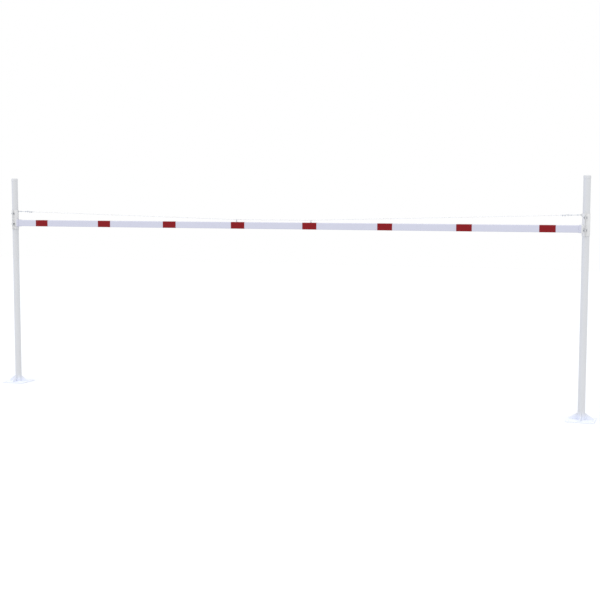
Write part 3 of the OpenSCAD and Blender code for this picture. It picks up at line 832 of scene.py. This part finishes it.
# ---- Eye bolts ----
# Forged M10 eye bolts that carry the wire rope over the crossbar. Each screws into a rivet
# nut squeezed into the tube's top wall, and a thin nut locks it. All are zinc plated, bright.
ZINC_BRIGHT = "#d0d3d8"
ZINC_CLOUD = "#bcc0c6"
ring_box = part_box("right_eye_bolt")
flange_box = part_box("right_rivet_nut")
eye_x = (ring_box[0].x + ring_box[1].x) / 2
wire_r = 3 * mm
ring_r = 10 * mm
eye_z = ring_box[1].z - ring_r - wire_r
eye_r = 5 * mm
beam_top = beam_high.z
flange_top = flange_box[1].z
flange_r = 9 * mm
insert_r = 7 * mm
insert_bore = eye_r + 0.05 * mm
insert_end = beam_top - 18 * mm
bulge_r = 7.9 * mm
lock_h = 8.5 * mm
lock_top = flange_top + lock_h
thread_end = beam_top - 15 * mm
eye_pitch = 1.5 * mm
bright_zinc = zinc_plating("bright_zinc_plating", ZINC_BRIGHT, ZINC_CLOUD)


def bent_ring():
    """A ring of round bar about Z, the same for an eye bolt and a turnbuckle's eye."""
    return start_from(bpy.ops.mesh.primitive_torus_add, major_radius=ring_r, minor_radius=wire_r,
                      major_segments=64, minor_segments=24)


eye = bent_ring()
eye.data.transform(shift(0, 0, eye_z) @ rotation(90, "Y"))
eye_neck = turned([(eye_r - 1 * mm, thread_end - 1 * mm), (eye_r, thread_end),
                   (eye_r, lock_top + 1 * mm), (wire_r + 0.6 * mm, eye_z - ring_r - 1 * mm),
                   (wire_r - 0.4 * mm, eye_z - ring_r + 1 * mm)], 32)
cut(eye, eye_neck, "UNION")
ease_edges(eye, 0, angle=50)
eye = joined([eye, thread(eye_r + 0.02 * mm, eye_pitch, thread_end, lock_top + 1.5 * mm)])
lock = hexagon(eye_r, lock_h, bore=eye_r - 0.1 * mm)
lock.data.transform(shift(0, 0, flange_top))
sleeve_nut = turned([(insert_bore, insert_end), (insert_r, insert_end),
                     (insert_r, beam_top - 12 * mm), (bulge_r, beam_top - 5 * mm),
                     (bulge_r, beam_top - 2.8 * mm), (insert_r, beam_top - 2.5 * mm),
                     (insert_r, beam_top), (flange_r, beam_top), (flange_r, flange_top - 0.4 * mm),
                     (flange_r - 0.4 * mm, flange_top), (insert_bore, flange_top)], 48, closed=True)
ease_edges(sleeve_nut, 0)
for source, name, node in ((eye, "forged_eye", "eye_bolt"), (lock, "lock_nut", "eye_lock_nut"),
                           (sleeve_nut, "rivet_insert", "rivet_nut")):
    source.data.transform(shift(eye_x, 0, 0))
    hand_over_pair(source, name, "crossbar", bright_zinc, node)


# ---- Wire rope ----
# One 4 mm galvanised rope of six strands, about eight metres long, drawn tight from lug to
# lug through both eye bolts. Each end goes round a thimble and lies back under two clips.
rope_r = 2 * mm
lay_length = 27 * mm
gap = 0.05 * mm
rope_at_eye = Vector((eye_x, 0, eye_z + ring_r - wire_r - rope_r - gap))
along_stay = Matrix(((-stay_line.x, 0, -stay_line.z, 0), (0, -1, 0, 0),
                     (-stay_line.z, 0, stay_line.x, 0), (0, 0, 0, 1)))
stay = Matrix.Translation(lug_hole) @ along_stay
# Along the stay from the lug's hole, as a rigger would mark it off
body_end = 128 * mm
eye_ring_at = body_end + wire_r + ring_r + 2 * mm
thimble_r = 6 * mm
thimble_wall = 1.5 * mm
thimble_half_w = 3 * mm
ring_reach = math.sqrt(ring_r ** 2 - thimble_half_w ** 2)
bar_reach = math.sqrt((thimble_r - wire_r - 0.3 * mm) ** 2 - rope_r ** 2)
thimble_at = eye_ring_at + ring_reach + bar_reach
groove_r = thimble_r + thimble_wall + rope_r + gap
leg = 28 * mm
leg_slope = math.asin(groove_r / math.hypot(leg, rope_r)) - math.atan2(rope_r, leg)
legs_meet = thimble_at + leg
tail_at = legs_meet + 72 * mm

WIRE_DULL = "#d4d7dc"
WIRE_BRIGHT = "#e6e9ee"
wire, tree, shader = new_material("galvanised_wire", "wire_rope",
                                  {"Metallic": 1, "Roughness": 0.45})
uv = add_node(tree, "ShaderNodeUVMap", {"uv_map": "rope"}).outputs[0]
# Each strand's own wires, 0.5 mm apart and slanting the other way from the strands
slant = add_node(tree, "ShaderNodeMapping", {"Scale": (1 / (8 * mm), 14, 1)}, {"Vector": uv})
wires = add_node(tree, "ShaderNodeTexWave",
                 {"bands_direction": "DIAGONAL", "Scale": 0.5, "Distortion": 0.4},
                 {"Vector": slant.outputs[0]})
tone = add_node(tree, "ShaderNodeMix",
                {"data_type": "RGBA", 6: linear(WIRE_DULL), 7: linear(WIRE_BRIGHT)},
                {0: wires.outputs["Fac"]})
tree.links.new(tone.outputs[2], shader.inputs["Base Color"])
bump = add_node(tree, "ShaderNodeBump", {"Strength": 0.35, "Distance": 0.1 * mm},
                {"Height": wires.outputs["Fac"]})
tree.links.new(bump.outputs["Normal"], shader.inputs["Normal"])

bend = [rope_at_eye, stay @ Vector((legs_meet, 0, 0))]
loop_steps = 44
loop_angle = math.pi + 2 * leg_slope
for step in range(loop_steps + 1):
    angle = leg_slope - math.pi / 2 - step * loop_angle / loop_steps
    bend.append(stay @ Vector((thimble_at + groove_r * math.cos(angle), 0,
                               rope_r + groove_r * math.sin(angle))))
bend += [stay @ Vector((x, 0, 2 * rope_r)) for x in (legs_meet, tail_at)]
route = [Vector((-p.x, 0, p.z)) for p in reversed(bend)] + bend
centres = [route[0]]
ring_spacing = 2.8 * mm
for start, end in zip(route, route[1:]):
    parts = max(1, math.ceil((end - start).length / ring_spacing))
    centres += [start.lerp(end, part / parts) for part in range(1, parts + 1)]
# Six strands of three points each: two on the crown and one down in the groove
sides = 18
crown, groove = 0.985, 0.76
verts, marks, run = [], [], 0.0
for i, centre in enumerate(centres):
    ahead, behind = centres[min(i + 1, len(centres) - 1)], centres[max(i - 1, 0)]
    run += (centre - behind).length if i else 0
    across = (ahead - behind).normalized().cross((0, 1, 0))
    for k in range(sides):
        angle = math.tau * (k / sides + run / lay_length)
        reach = rope_r * (groove if k % 3 == 0 else crown)
        outwards = math.cos(angle) * Vector((0, 1, 0)) + math.sin(angle) * across
        verts.append(centre + reach * outwards)
    marks.append(run)


def skinned(name, verts, count):
    """A piece skinned over rings of vertices, each of the same count, and closed at both ends."""
    last = len(verts) - count
    faces = [(low + k, low + count + k, low + count + (k + 1) % count, low + (k + 1) % count)
             for low in range(0, last, count) for k in range(count)]
    faces += [tuple(range(count)), tuple(range(last + count - 1, last - 1, -1))]
    piece = bpy.data.objects.new(name, bpy.data.meshes.new(name))
    piece.data.from_pydata(verts, [], faces)
    bpy.context.collection.objects.link(piece)
    activate(piece)
    return piece


rope = skinned("twisted_rope", verts, sides)
layer = rope.data.uv_layers.new(name="rope")
for face in rope.data.polygons:
    at_seam = len(face.vertices) == 4 and max(v % sides for v in face.vertices) == sides - 1
    for loop in face.loop_indices:
        vert = rope.data.loops[loop].vertex_index
        place_round = sides if at_seam and vert % sides == 0 else vert % sides
        layer.data[loop].uv = (marks[vert // sides], place_round / sides)
bpy.ops.object.mode_set(mode="EDIT")
clean_up(merge=False)
bpy.ops.object.mode_set(mode="OBJECT")
ease_edges(rope, 0, angle=65)
hand_over(rope, "twisted_rope", "crossbar", wire, "stay_rope")


# ---- Thimbles ----
# Pressed channels of galvanised strip that line each loop of the rope, so that it can't be
# crushed on the turnbuckle's eye. The two legs of a thimble taper and meet at its point.
GALVANISED = "#ced2d9"
GALVANISED_DULL = "#aeb4bd"

galvanising, tree, shader = new_material("hot_dip_galvanising", "galvanised_steel",
                                         {"Metallic": 1})
place = {"Vector": add_node(tree, "ShaderNodeTexCoord").outputs["Object"]}
# Spangle: crystals of zinc 3 mm across, as small fittings show it, each its own grey
spangle = add_node(tree, "ShaderNodeTexVoronoi", {"Scale": 330}, place)
crystal = add_node(tree, "ShaderNodeSeparateColor", links={0: spangle.outputs["Color"]})
tone = add_node(tree, "ShaderNodeMix",
                {"data_type": "RGBA", 6: linear(GALVANISED), 7: linear(GALVANISED_DULL)},
                {0: crystal.outputs[0]})
tree.links.new(tone.outputs[2], shader.inputs["Base Color"])
gloss = add_node(tree, "ShaderNodeMapRange", {"To Min": 0.34, "To Max": 0.6},
                 {"Value": crystal.outputs[1]})
tree.links.new(gloss.outputs["Result"], shader.inputs["Roughness"])
drips = add_node(tree, "ShaderNodeTexNoise", {"Scale": 700, "Detail": 2}, place)
bump = add_node(tree, "ShaderNodeBump", {"Strength": 0.3, "Distance": 0.05 * mm},
                {"Height": drips.outputs["Fac"]})
tree.links.new(bump.outputs["Normal"], shader.inputs["Normal"])

# The channel's section: (distance out from the thimble's inside, half width)
lip_out = thimble_wall + rope_r + 0.8 * mm
half_section = [(0, 2.4 * mm), (0.5 * mm, 2.9 * mm), (lip_out, thimble_half_w),
                (lip_out, 2.3 * mm), (thimble_wall, 2.1 * mm)]
section = [(out, -y) for out, y in half_section] + half_section[::-1]
turns = 28
# Where each section stands: along the upper leg, round the end, and back down the lower leg
stands = []
leg_run = leg - 8 * mm
leg_parts = 4
for step in range(turns + 1):
    angle = math.pi / 2 - leg_slope + step * loop_angle / turns
    stands.append((thimble_r * math.cos(angle), thimble_r * math.sin(angle), angle))
for first, sign in ((0, 1), (-1, -1)):
    x, z, angle = stands[first]
    along = Vector((math.sin(angle), -math.cos(angle))) * sign
    ends = [(x + along.x * leg_run * part / leg_parts, z + along.y * leg_run * part / leg_parts,
             angle) for part in range(1, leg_parts + 1)]
    stands = ends[::-1] + stands if first == 0 else stands + ends
verts = [(x + out * math.cos(angle), y, z + out * math.sin(angle))
         for x, z, angle in stands for out, y in section]
thimble = skinned("thimble", verts, len(section))
bpy.ops.object.mode_set(mode="EDIT")
clean_up(merge=False)
bpy.ops.object.mode_set(mode="OBJECT")
thimble.data.transform(stay @ shift(thimble_at, 0, rope_r))
ease_edges(thimble, 0, angle=30)
hand_over_pair(thimble, "pressed_thimble", "crossbar", galvanising, "rope_thimble")


# ---- Wire rope clips ----
# Two clips at each end: a forged saddle under the live rope, a U-bolt over the dead end, and
# two nuts that pull them together. All are galvanised.
clips_at = (legs_meet + 14 * mm, legs_meet + 44 * mm)
bar_r = 2.5 * mm
bar_at = rope_r + bar_r + gap
saddle_low = -(rope_r + 5 * mm)
saddle_half = bar_at + bar_r + 2.5 * mm
clip_nut_h = 4.25 * mm
bar_low = saddle_low - clip_nut_h - 3 * mm

saddle = block((-6.5 * mm, -saddle_half, saddle_low), (6.5 * mm, saddle_half, -0.2 * mm))
round_off(saddle, 3.4 * mm, 5, lambda edge: runs_along(edge, 2))
drill(saddle, rope_r + gap, (-9 * mm, 0, 0), (9 * mm, 0, 0))
for x in (-3.2 * mm, 3.2 * mm):
    drill(saddle, 1.6 * mm, (x, -saddle_half - 1 * mm, saddle_low - 0.4 * mm),
          (x, saddle_half + 1 * mm, saddle_low - 0.4 * mm))
for y in (-bar_at, bar_at):
    drill(saddle, bar_r + 0.1 * mm, (0, y, saddle_low - 1 * mm), (0, y, 2 * mm))
ease_edges(saddle, 0.4 * mm)

bar_tip = 0.6 * mm
straight = 2 * rope_r - bar_low - bar_tip
u_bolt = start_from(bpy.ops.mesh.primitive_circle_add, vertices=16, radius=bar_r,
                    fill_type="NGON", location=(0, -bar_at, bar_low))
bpy.ops.object.mode_set(mode="EDIT")
bpy.ops.mesh.select_all(action="SELECT")
for rise in (bar_tip, straight):
    bpy.ops.mesh.extrude_region_move(TRANSFORM_OT_translate={"value": (0, 0, rise)})
bpy.ops.mesh.spin(steps=18, angle=math.pi, center=(0, 0, 2 * rope_r), axis=(-1, 0, 0))
for drop in (straight, bar_tip):
    bpy.ops.mesh.extrude_region_move(TRANSFORM_OT_translate={"value": (0, 0, -drop)})
for y in (-bar_at, bar_at):
    choose("VERT", lambda vert: (vert.co.z < bar_low + 0.1 * mm
                                 and abs(vert.co.y - y) < 1.1 * bar_r))
    bpy.ops.transform.resize(value=(0.76, 0.76, 1), center_override=(0, y, bar_low))
clean_up()
bpy.ops.object.mode_set(mode="OBJECT")
ease_edges(u_bolt, 0, angle=40)
threads = [thread(bar_r + 0.06 * mm, 0.8 * mm, bar_low + 0.4 * mm, saddle_low - 0.1 * mm)]
threads.append(copy_of(threads[0], shift(0, bar_at, 0)))
threads[0].data.transform(shift(0, -bar_at, 0))
u_bolt = joined([u_bolt] + threads)
clip_nut = hexagon(bar_r, clip_nut_h, bore=bar_r - 0.1 * mm)
for number, x in enumerate(clips_at, 1):
    on_stay = stay @ shift(x, 0, 0)
    for source, name, node in ((saddle, "clip_saddle", "clip_saddles"),
                               (u_bolt, "u_bolt", "clip_u_bolts")):
        hand_over_pair(copy_of(source, on_stay), f"{name}_{number}", "crossbar", galvanising, node)
    for name, y in (("front", bar_at), ("rear", -bar_at)):
        under = copy_of(clip_nut, on_stay @ shift(0, y, saddle_low - clip_nut_h))
        hand_over_pair(under, f"{name}_clip_nut_{number}", "crossbar", galvanising, "clip_nuts")
for source in (saddle, u_bolt, clip_nut):
    bpy.data.objects.remove(source)


# ---- Turnbuckle hooks and eyes ----
# Two M8 rods to each turnbuckle, forged and bent from round bar: a hook that passes through
# the lug's hole, and a closed eye that holds the thimble. Their inner ends are threaded.
rod_r = 4 * mm
rod_pitch = 1.25 * mm
hook_r = 9 * mm
body_start = 38 * mm
boss_len = 15 * mm
rod_grip = 10 * mm
hook_end = body_start + boss_len + rod_grip
eye_rod_start = body_end - boss_len - rod_grip
rod_root = rod_r - 0.7 * mm
rod_point = rod_r - 1.5 * mm
hook_bend = 236

hook = start_from(bpy.ops.mesh.primitive_circle_add, vertices=20, radius=wire_r,
                  fill_type="NGON", location=(2 * hook_r, 0, 0),
                  rotation=(math.radians(90), 0, 0))
bpy.ops.object.mode_set(mode="EDIT")
bpy.ops.mesh.select_all(action="SELECT")
bpy.ops.mesh.spin(steps=40, angle=math.radians(hook_bend), center=(hook_r, 0, 0), axis=(0, 0, 1))
# The tip carries on round by five degrees and then by four more, drawn down to a blunt end
for turned_on, step, share in ((5, 5, 0.86), (9, 4, 0.6)):
    angle = math.radians(hook_bend + turned_on)
    tip = Vector((hook_r + hook_r * math.cos(angle), hook_r * math.sin(angle), 0))
    move = hook_r * math.radians(step)
    bpy.ops.mesh.extrude_region_move(TRANSFORM_OT_translate={
        "value": (-math.sin(angle) * move, math.cos(angle) * move, 0)})
    bpy.ops.transform.resize(value=(share, share, share), center_override=tip)
clean_up()
bpy.ops.object.mode_set(mode="OBJECT")
hook_neck = turned([(wire_r - 0.3 * mm, 2 * hook_r - wire_r - 0.5 * mm),
                    (wire_r + 0.2 * mm, 2 * hook_r - 1 * mm), (rod_r, 2 * hook_r + 5 * mm),
                    (rod_r, body_start - 6 * mm), (rod_root, body_start - 5 * mm),
                    (rod_root, hook_end - 1 * mm), (rod_point, hook_end)], 32)
hook_neck.data.transform(face_right)
hook_thread = thread(rod_r, rod_pitch, body_start - 5.4 * mm, hook_end - 0.4 * mm)
hook_thread.data.transform(face_right)
ease_edges(hook, 0, angle=40)
ease_edges(hook_neck, 0, angle=25)
hook = joined([hook, hook_neck, hook_thread])

ring = bent_ring()
ring.data.transform(shift(eye_ring_at, 0, 0))
ring_neck = turned([(rod_point, eye_rod_start), (rod_root, eye_rod_start + 1 * mm),
                    (rod_root, body_end + 0.6 * mm), (rod_r - 0.2 * mm, body_end + 1 * mm),
                    (wire_r - 0.3 * mm, eye_ring_at - ring_r)], 32)
ring_neck.data.transform(face_right)
ring_thread = thread(rod_r, rod_pitch, eye_rod_start + 0.4 * mm, body_end + 1 * mm)
ring_thread.data.transform(face_right)
ease_edges(ring, 0, angle=50)
ease_edges(ring_neck, 0, angle=25)
ring = joined([ring, ring_neck, ring_thread])
for source, name, node in ((hook, "bent_hook", "turnbuckle_hook"),
                           (ring, "closed_eye", "turnbuckle_eye")):
    source.data.transform(stay)
    hand_over_pair(source, name, "crossbar", galvanising, node)


# ---- Turnbuckle bodies ----
# Open forged bodies with a threaded boss at each end and a round bar down each side. They
# are turned by hand or with a bar to draw the rope tight; the forging leaves soft fillets.
boss_r = 7.6 * mm
side_bar_r = 3 * mm
side_bar_at = 9.5 * mm
rod_clearance = 0.25 * mm

body = turned([(boss_r - 1.2 * mm, body_start), (boss_r, body_start + 1.2 * mm),
               (boss_r, body_start + boss_len - 4 * mm),
               (boss_r - 2 * mm, body_start + boss_len)], 40)
far_boss = copy_of(body, shift(0, 0, body_start + body_end) @ rotation(180, "X"))
cut(body, far_boss, "UNION")
for y in (-side_bar_at, side_bar_at):
    bar = start_from(bpy.ops.mesh.primitive_cylinder_add, vertices=24, radius=side_bar_r,
                     depth=body_end - body_start - 6 * mm,
                     location=(0, y, (body_start + body_end) / 2))
    round_off(bar, 1.6 * mm, 3, lambda edge: not runs_along(edge, 2))
    cut(body, bar, "UNION")
drill(body, rod_r + rod_clearance, (0, 0, body_start - overshoot), (0, 0, body_end + overshoot))
apply_modifier(body, "REMESH", mode="VOXEL", voxel_size=0.7 * mm)
apply_modifier(body, "SMOOTH", factor=0.5, iterations=3)
body.data.transform(stay @ face_right)
ease_edges(body, 0, angle=60)
for side, piece in both_sides(body):
    hand_over(piece, f"{side}_forged_body", f"{side}_turnbuckle", galvanising,
              f"{side}_turnbuckle_body")
